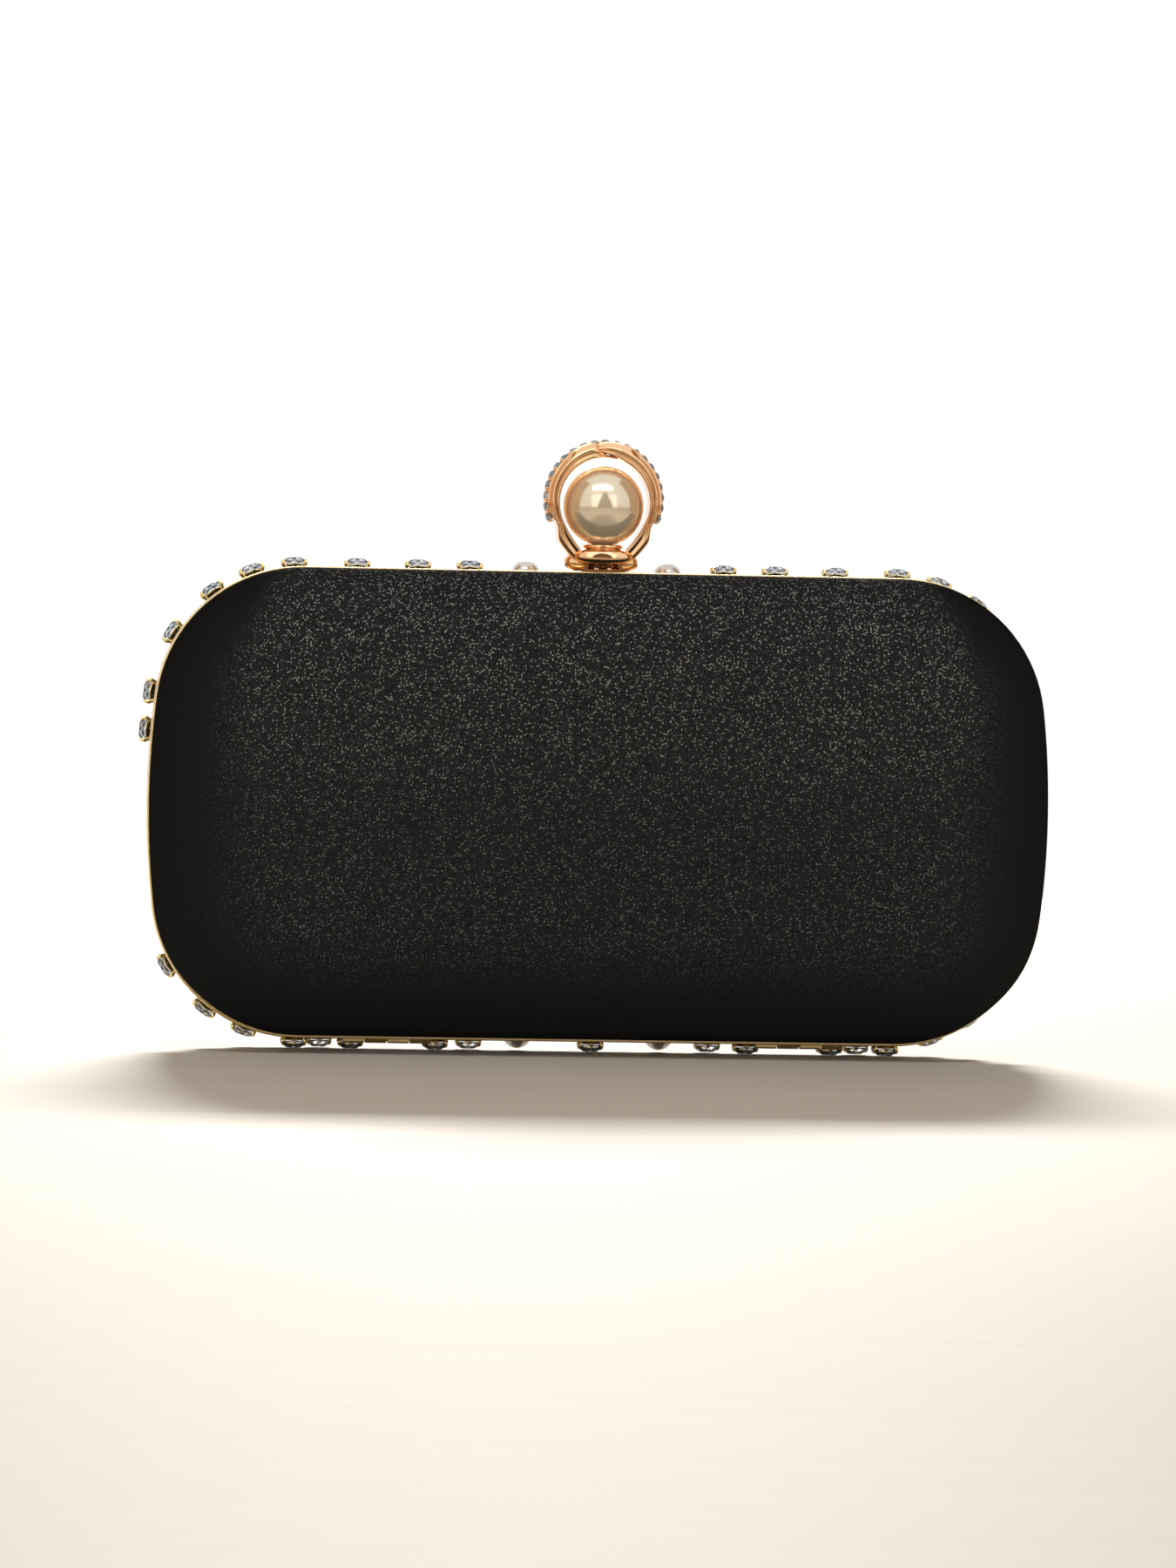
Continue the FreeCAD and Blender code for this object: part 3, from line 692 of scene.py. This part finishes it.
def copies(name, node, normal_at, template, body, slot_name, *materials):
    """One piece made of the template fitted into each solid's box."""
    bm = bmesh.new()
    for base, along, side, outward, sizes in places(node, normal_at):
        length, width, height = sizes
        for points, index in template:
            verts = []
            for p in points:
                at = base + along * (p.x * length) + side * (p.y * width) + outward * (p.z * height)
                verts.append(bm.verts.new(at))
            face = bm.faces.new(verts)
            face.material_index = index
    bmesh.ops.remove_doubles(bm, verts=bm.verts, dist=WELD)
    obj = mesh_object(name, bm, body, slot_name, *materials)
    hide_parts(node)
    return obj


gem = gem_template()
half_pearl = pearl_template()
for kind, normal_at, claw in (
    ("edge", edge_normal, 0.055), ("bottom", edge_normal, 0.055), ("face", face_normal, 0.05),
):
    stones = copies(
        f"{kind}_cut_stones", f"{kind}_stones", normal_at, gem, "lid", "clear_stone", GLASS, FOIL
    )
    shade(stones, False)
    setting = setting_template(claw)
    collets = copies(
        f"{kind}_collets", f"{kind}_settings", normal_at, setting, "lid", "pale_gold", SETTING_GOLD
    )
    shade(collets, True, 40)
for node_name, normal_at in (
    ("edge_pearls", edge_normal), ("face_large_pearls", face_normal), ("face_small_pearls", face_normal),
):
    beads = copies(
        f"{node_name}_beads", node_name, normal_at, half_pearl, "lid", "white_pearl", WHITE_PEARL
    )
    shade(beads, True, 60)
ring_gems = copies(
    "ring_cut_stones", "ring_stones", ring_normal, gem, "clasp", "clear_stone", GLASS, FOIL
)
shade(ring_gems, False)

prong_faces = []
for sx, sy in FOUR_CORNERS:
    stations = ((0.47, 0.0), (0.47, 0.45), (0.47, 0.66), (0.42, 0.76))
    stem = [Vector((r * sx, r * sy, z)) for r, z in stations]
    prong_faces += tube(stem, [0.12, 0.12, 0.11, 0.06])
prongs = copies("ring_prongs", "ring_stones", ring_normal, prong_faces, "clasp", "rose_gold", ROSE_GOLD)
shade(prongs, True, 50)

# ------------------------------------------------------------------ ring and pearl

# Half of the band's section: place across its thickness, place across its depth, and rise in mm.
RIM = [
    (-1.0, 0.84, 0), (-0.93, 0.95, 0), (-0.72, 1.0, 0), (-0.45, 0.985, 0), (-0.28, 0.915, 0),
    (-0.10, 0.90, 0), (0.08, 0.94, 0), (0.30, 1.0, 0), (0.62, 0.985, 0), (0.90, 0.91, 0), (1.0, 0.80, 0),
]
RAIL = [
    (1.0, 0.72, 0.15), (1.0, 0.69, 0.62), (1.0, 0.62, 0.68), (1.0, 0.57, 0.60), (1.0, 0.55, 0.10),
    (1.0, 0.50, 0),
]
SIDE = RIM + RAIL
SECTION = [(u, -v, lift) for u, v, lift in SIDE] + [(u, v, lift) for u, v, lift in reversed(SIDE)]
SECTION += [(-1.0, 0.4, 0), (-1.0, -0.4, 0)]


def ring_radii(angle):
    """Radii of the bore and the outside from the bore's centre, at an angle."""
    shift = RING_OUTER_Z - RING_BORE_Z
    s = math.sin(angle)
    outer = shift * s + math.sqrt(RING_OUTER**2 - (shift * math.cos(angle)) ** 2)
    return RING_BORE, outer


LEG_TOP = math.radians(25)
LEG_LENGTH = 8.3 * MM
LEG_FLARE = 1.15 * MM
LEG_DRAW_IN = 1.5 * MM
NEAR_RIM_RISE = 0.5 * MM
BORE_CLEARANCE = 0.05 * MM
LAP_THINNING = 0.62 * MM
TUCKED_THICKNESS = 0.55 * MM
ROUND_HALF = math.pi / 2 + LEG_TOP


def leg_share(angle):
    """0 on the round, rising to 1 down a leg to the cap's shoulder."""
    return max(0.0, (abs(angle - math.pi / 2) - ROUND_HALF) / (math.pi - ROUND_HALF))


def round_angle(angle):
    """The angle held to the round, so that a leg keeps the direction it leaves at."""
    return math.pi / 2 + min(max(angle - math.pi / 2, -ROUND_HALF), ROUND_HALF)


def band(name, first, last, steps, shape_at):
    """Band swept up a leg and round the bore's centre. shape_at gives (inner, outer, near, far)."""
    bm = bmesh.new()
    rows = []
    for k in range(steps + 1):
        t = k / steps
        angle = math.radians(first + (last - first) * t)
        leg = leg_share(angle)
        at_round = round_angle(angle)
        side = 1 if math.cos(at_round) > 0 else -1
        inner, outer, near, far = shape_at(t, at_round)
        outer += LEG_FLARE * smooth(2.2 * leg)
        near *= 1 - 0.45 * leg
        above_legs = smooth((math.sin(at_round) + 0.40) / 0.30)
        rail = above_legs * smooth((outer - inner - 0.6 * MM) / (0.5 * MM))
        out = Vector((math.cos(at_round), 0, math.sin(at_round)))
        down = Vector((out.z, 0, -out.x)) * side * LEG_LENGTH * leg - out * LEG_DRAW_IN * leg**2
        crown = NEAR_RIM_RISE * smooth((out.z - 0.72) / 0.2)
        row = []
        for u, v, lift in SECTION:
            near_rim = crown if v < -0.65 and u > 0.9 else 0
            radius = (inner + outer) / 2 + u * (outer - inner) / 2 + lift * rail * MM + near_rim * rail
            y = (near + far) / 2 + v * (far - near) / 2
            row.append(bm.verts.new(Vector((0, RING_Y + y, RING_BORE_Z)) + out * radius + down))
        rows.append(row)
    skin(bm, zip(rows, rows[1:]))
    bm.faces.new(list(reversed(rows[0])))
    bm.faces.new(rows[-1])
    obj = mesh_object(name, bm, "clasp", "rose_gold", ROSE_GOLD)
    shade(obj, True, 50)
    subdivision = obj.modifiers.new("soften", "SUBSURF")
    subdivision.levels = 1
    subdivision.render_levels = 2
    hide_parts("clasp_ring")


HALF_DEPTH = (ring_high.y - ring_low.y) / 2


def right_band(t, angle):
    """From the right shoulder up the right and over the crown to a blunt lapping tip."""
    inner, outer = ring_radii(angle)
    tip = smooth((1 - t) / 0.09)
    lap = smooth((t - 0.80) / 0.14)
    inner_now = inner + BORE_CLEARANCE + LAP_THINNING * lap
    middle = (inner_now + outer) / 2 + 0.2 * MM
    inner_now = middle + (inner_now - middle) * (0.45 + 0.55 * tip)
    outer_now = middle + (outer - middle) * (0.55 + 0.45 * tip)
    return inner_now, outer_now, -HALF_DEPTH, HALF_DEPTH * (0.3 + 0.7 * tip)


def left_band(t, angle):
    """From the left shoulder up the left, its end tucked under the right band's tip."""
    inner, outer = ring_radii(angle)
    tuck = smooth((t - 0.84) / 0.10)
    outer_now = outer + (inner + TUCKED_THICKNESS - outer) * tuck
    return inner + BORE_CLEARANCE, outer_now, -HALF_DEPTH * (1 - 0.12 * tuck), HALF_DEPTH


BAND_STEPS = 84
band("ring_right_band", -90, 99, BAND_STEPS, right_band)
band("ring_left_band", 270, 74, BAND_STEPS, left_band)

# ------------------------------------------------------------------ cap under the ring

cap_low, cap_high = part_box("clasp_cap")
cup_low, cup_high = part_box("pearl_cup")
pin_low, pin_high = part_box("clasp_pivot_pin")
_, keeper_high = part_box("clasp_keeper")
LENS_RADII = (6.2 * MM, 3.4 * MM, 1.76 * MM)
LENS_CENTRE = Vector((0, cap_low.y + LENS_RADII[1], cap_high.z - LENS_RADII[2]))
FOOT_RADII = (cap_high.x, 3.6 * MM, 2.15 * MM)
FOOT_CENTRE = Vector((0, cap_high.y - FOOT_RADII[1], cap_low.z + 1.80 * MM))
FOOT_WALL = 0.6 * MM
FOOT_LOWEST = -0.83
NOTCH_HALF = 2.9 * MM
LOBE_RADIUS = 0.95 * MM
LOBE_X, LOBE_HALF = 2.6 * MM, 0.4 * MM
TOOTH_THICK, TOOTH_HALF, CATCH_GAP = 0.7 * MM, 1.2 * MM, 0.25 * MM
NEARLY_UP = math.radians(89)
SEAT_SIDES = 64


def pebble(bm, centre, radii, lowest_at, plan_power, power, count=96, steps=22):
    """Rows of a rounded oval body, from each column's lowest height to the top."""
    rows = []
    for k in range(steps + 1):
        row = []
        for i in range(count):
            a = 2 * math.pi * i / count
            c, s = math.cos(a), math.sin(a)
            plan = (abs(c) ** plan_power + abs(s) ** plan_power) ** (-1 / plan_power)
            start = math.asin(lowest_at(a))
            w = math.sin(start + (NEARLY_UP - start) * k / steps)
            across = (1 - abs(w) ** power) ** (1 / power) * plan
            at = centre + Vector((radii[0] * across * c, radii[1] * across * s, radii[2] * w))
            row.append(bm.verts.new(at))
        rows.append(row)
    skin(bm, zip(rows, rows[1:]))
    bm.faces.new(rows[-1])
    return rows


def foot_lowest(a):
    """The foot's open rim, raised at the far side where the keeper's lug passes."""
    at_notch = math.sin(a) > 0 and abs(FOOT_RADII[0] * math.cos(a)) < NOTCH_HALF
    return (keeper_high.z + 0.5 * MM - FOOT_CENTRE.z) / FOOT_RADII[2] if at_notch else FOOT_LOWEST


def plate(bm, outline, x0, x1):
    """Flat plate between two X places from its outline in Y and Z."""
    sides = [[bm.verts.new((x, y, z)) for y, z in outline] for x in (x0, x1)]
    for face in (list(reversed(sides[0])), sides[1]):
        bm.faces.new(face)
    for i in range(len(outline)):
        j = (i + 1) % len(outline)
        bm.faces.new((sides[0][i], sides[0][j], sides[1][j], sides[1][i]))


def make_cap():
    """Foot shell with a lens in front, a neck under the cup, pivot lobes and a catch tooth."""
    bm = bmesh.new()
    outer = pebble(bm, FOOT_CENTRE, FOOT_RADII, foot_lowest, 2.4, 3.0)
    inner = pebble(bm, FOOT_CENTRE, [r - FOOT_WALL for r in FOOT_RADII], foot_lowest, 2.4, 3.0)
    for i in range(len(outer[0])):
        j = (i + 1) % len(outer[0])
        bm.faces.new((outer[0][i], inner[0][i], inner[0][j], outer[0][j]))
    lens = pebble(bm, LENS_CENTRE, LENS_RADII, lambda a: -math.sin(NEARLY_UP), 2.0, 2.9, steps=36)
    bm.faces.new(list(reversed(lens[0])))
    neck_heights = (cap_high.z - 1.2 * MM, cap_high.z - 0.3 * MM, cup_low.z + 0.1 * MM)
    neck = [Vector((0, RING_Y, z)) for z in neck_heights]
    for points, _ in tube(neck, [3.6 * MM, 3.8 * MM, 3.8 * MM], 48):
        bm.faces.new([bm.verts.new(p) for p in points])
    pin_y, pin_z = (pin_low.y + pin_high.y) / 2, (pin_low.z + pin_high.z) / 2
    lobe = [(y, LENS_CENTRE.z) for y in (pin_y + LOBE_RADIUS, pin_y - LOBE_RADIUS)]
    turns = [math.pi + math.pi * i / 14 for i in range(15)]
    lobe += [(pin_y + LOBE_RADIUS * math.cos(a), pin_z + LOBE_RADIUS * math.sin(a)) for a in turns]
    for x in (-LOBE_X, LOBE_X):
        plate(bm, lobe, x - LOBE_HALF, x + LOBE_HALF)
    near = keeper_high.y - TOOTH_THICK
    far = near + TOOTH_THICK
    low = keeper_high.z + CATCH_GAP
    top = FOOT_CENTRE.z + FOOT_RADII[2] - FOOT_WALL / 2
    plate(bm, [(near, top), (near, low), (far, low), (far, top)], -TOOTH_HALF, TOOTH_HALF)
    bmesh.ops.remove_doubles(bm, verts=bm.verts, dist=1e-7)
    obj = mesh_object("clasp_cap_polished", bm, "clasp", "rose_gold", ROSE_GOLD)
    shade(obj, True, 50)
    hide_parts("clasp_cap")


def make_seat():
    """Round seat on the cap, hollowed where the pearl rests."""
    bm = bmesh.new()
    radius = cup_high.x
    low, rim = cup_low.z - 0.25 * MM, cup_low.z + 0.62 * MM
    profile = [(0.80, low), (0.93, low + 0.05 * MM), (0.99, low + 0.25 * MM), (1.0, low + 0.45 * MM)]
    profile += [(0.985, rim - 0.12 * MM), (0.94, rim), (0.88, rim - 0.03 * MM)]
    profile += [(share, rim - (0.88 - share) * 0.75 * MM) for share in (0.75, 0.6, 0.4, 0.2, 0.04)]
    turns = [2 * math.pi * i / SEAT_SIDES for i in range(SEAT_SIDES)]
    rows = []
    for share, z in profile:
        reach = radius * share
        rows.append([bm.verts.new((reach * math.cos(a), RING_Y + reach * math.sin(a), z)) for a in turns])
    skin(bm, zip(rows, rows[1:]))
    bm.faces.new(list(reversed(rows[0])))
    bm.faces.new(rows[-1])
    obj = mesh_object("pearl_seat", bm, "clasp", "rose_gold", ROSE_GOLD)
    shade(obj, True, 60)
    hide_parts("pearl_cup")


def make_pearl():
    """Bored bead, very slightly out of round, dimpled where the peg goes in."""
    out_of_round = 0.012 * MM
    bm = bmesh.new()
    bmesh.ops.create_uvsphere(bm, u_segments=96, v_segments=64, radius=PEARL_RADIUS)
    for vert in bm.verts:
        direction = vert.co.normalized()
        wobble = out_of_round * noise.noise(direction * 2.1)
        pole = max(0.0, -direction.z)
        dimple = -0.25 * MM * smooth((pole - 0.985) / 0.015)
        vert.co = PEARL_CENTRE + direction * (PEARL_RADIUS - out_of_round + wobble + dimple)
    obj = mesh_object("champagne_bead", bm, "clasp", "champagne_pearl", CHAMPAGNE)
    shade(obj)
    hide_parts("clasp_pearl")


make_cap()
make_seat()
make_pearl()

# ------------------------------------------------------------------ camera

CAMERA_DISTANCE = 1.7
CAMERA_AZIMUTH = math.radians(5.5)
CAMERA_ELEVATION = math.radians(1.0)
CAMERA_ROLL = math.radians(1.1)
VIEW_HEIGHT = 0.3306
SENSOR_WIDTH = 36
target = Vector((-2.1 * MM, SEAM_Y, MID_Z + 4.8 * MM))
flat = math.cos(CAMERA_ELEVATION)
away = Vector((
    -math.sin(CAMERA_AZIMUTH) * flat, -math.cos(CAMERA_AZIMUTH) * flat, math.sin(CAMERA_ELEVATION)
))
camera_data = bpy.data.cameras.new("camera")
camera_data.sensor_width = SENSOR_WIDTH
camera_data.lens = SENSOR_WIDTH * CAMERA_DISTANCE / VIEW_HEIGHT
camera_data.clip_end = 20
camera = bpy.data.objects.new("camera", camera_data)
scene.collection.objects.link(camera)
turn = away.to_track_quat("Z", "Y").to_matrix().to_4x4() @ Matrix.Rotation(CAMERA_ROLL, 4, "Z")
camera.matrix_world = Matrix.Translation(target + away * CAMERA_DISTANCE) @ turn
scene.camera = camera

# ------------------------------------------------------------------ floor, backdrop and light

FLOOR_HALF, FLOOR_NEAR, FLOOR_FAR = 2.2, -2.4, 1.1
FLOOR_Z = -0.2 * MM
CARD_X, CARD_NEAR, CARD_FAR, CARD_LOW, CARD_HIGH = 0.55, -0.14, 0.30, 0.02, 0.95
SCREEN_Y, SCREEN_LOW, SCREEN_HIGH = -1.3, -0.4, 1.3
SCREEN_FOOT, SCREEN_TIP = 0.72, 0.06


def stage_sheet(name, corners, pattern, rough, colours):
    """Flat sheet of the studio, painted with soft streaks or mottling. Returns it and its shader."""
    bm = bmesh.new()
    bm.faces.new([bm.verts.new(corner) for corner in corners])
    mesh = bpy.data.meshes.new(name)
    bm.to_mesh(mesh)
    bm.free()
    sheet = bpy.data.objects.new(name, mesh)
    scene.collection.objects.link(sheet)
    material, tree, shader, coords = new_material(name + "_paint")
    texture = noise_node(tree, coords, *pattern)
    tree.links.new(ramp(tree, texture, (0.3, colours[0]), (0.7, colours[1])), shader.inputs["Base Color"])
    shader.inputs["Roughness"].default_value = rough
    mesh.materials.append(material)
    return sheet, shader


def card(name, corners, colour):
    """Card that only reflections see. Cards give the polished metal and the pearl their edges."""
    colours = (colour, tuple(1.3 * c for c in colour))
    sheet, _ = stage_sheet(name, corners, (60, 4.0, 0.6), 0.9, colours)
    sheet.visible_camera = sheet.visible_diffuse = False
    sheet.visible_shadow = sheet.visible_transmission = False


floor_outline = (
    (-FLOOR_HALF, FLOOR_NEAR), (FLOOR_HALF, FLOOR_NEAR),
    (FLOOR_HALF, FLOOR_FAR), (-FLOOR_HALF, FLOOR_FAR),
)
floor_corners = [(x, y, FLOOR_Z) for x, y in floor_outline]
floor_colours = ((0.93, 0.87, 0.77), (0.96, 0.90, 0.80))
_, floor_shader = stage_sheet("floor", floor_corners, (14, 5.0, 0.6, (1, 7, 1)), 0.6, floor_colours)
floor_shader.inputs["Specular IOR Level"].default_value = 0.03
side_outline = (
    (CARD_NEAR, CARD_LOW), (CARD_FAR, CARD_LOW), (CARD_FAR, CARD_HIGH), (CARD_NEAR, CARD_HIGH),
)
for name, x in (("left_card", -CARD_X), ("right_card", CARD_X)):
    card(name, [(x, y, z) for y, z in side_outline], (0.50, 0.26, 0.09))
screen_outline = (
    (-SCREEN_FOOT, SCREEN_LOW), (SCREEN_FOOT, SCREEN_LOW),
    (SCREEN_TIP, SCREEN_HIGH), (-SCREEN_TIP, SCREEN_HIGH),
)
card("front_card", [(x, SCREEN_Y, z) for x, z in screen_outline], (0.16, 0.12, 0.09))


def area_lamp(name, place, aim, size, power, colour):
    data = bpy.data.lights.new(name, "AREA")
    data.shape = "RECTANGLE"
    data.size, data.size_y = size
    data.energy = power
    data.color = colour
    lamp = bpy.data.objects.new(name, data)
    lamp.location = place
    lamp.rotation_euler = (Vector(aim) - Vector(place)).to_track_quat("-Z", "Y").to_euler()
    lamp.visible_camera = False
    scene.collection.objects.link(lamp)


middle = (0, 0, MID_Z)
area_lamp("back_light", (0.15, 2.0, 0.96), middle, (0.60, 0.20), 56, (1.0, 0.98, 0.95))
area_lamp("front_light", (-0.1, -1.6, 0.50), middle, (2.4, 1.3), 7.5, (1.0, 0.95, 0.88))
area_lamp("top_light", (-0.05, -0.30, 0.56), (0, 0, HEIGHT), (0.5, 0.16), 0.7, (1.0, 0.98, 0.95))

world = bpy.data.worlds.new("studio")
scene.world = world
world.use_nodes = True
tree = world.node_tree
tree.nodes.clear()
output = tree.nodes.new("ShaderNodeOutputWorld")
rays = tree.nodes.new("ShaderNodeLightPath")
lighting = tree.nodes.new("ShaderNodeBackground")
lighting.inputs["Color"].default_value = (1.0, 0.76, 0.54, 1)
lighting.inputs["Strength"].default_value = 0.13
backdrop = tree.nodes.new("ShaderNodeBackground")
backdrop.inputs["Color"].default_value = (1, 1, 1, 1)
backdrop.inputs["Strength"].default_value = 1.0
seen = rays.outputs["Is Camera Ray"]
for name in ("Is Glossy Ray", "Is Transmission Ray"):
    seen = maths(tree, "MAXIMUM", seen, rays.outputs[name])
blend = tree.nodes.new("ShaderNodeMixShader")
tree.links.new(seen, blend.inputs["Fac"])
tree.links.new(lighting.outputs["Background"], blend.inputs[1])
tree.links.new(backdrop.outputs["Background"], blend.inputs[2])
tree.links.new(blend.outputs["Shader"], output.inputs["Surface"])
scene.view_settings.view_transform = "Standard"
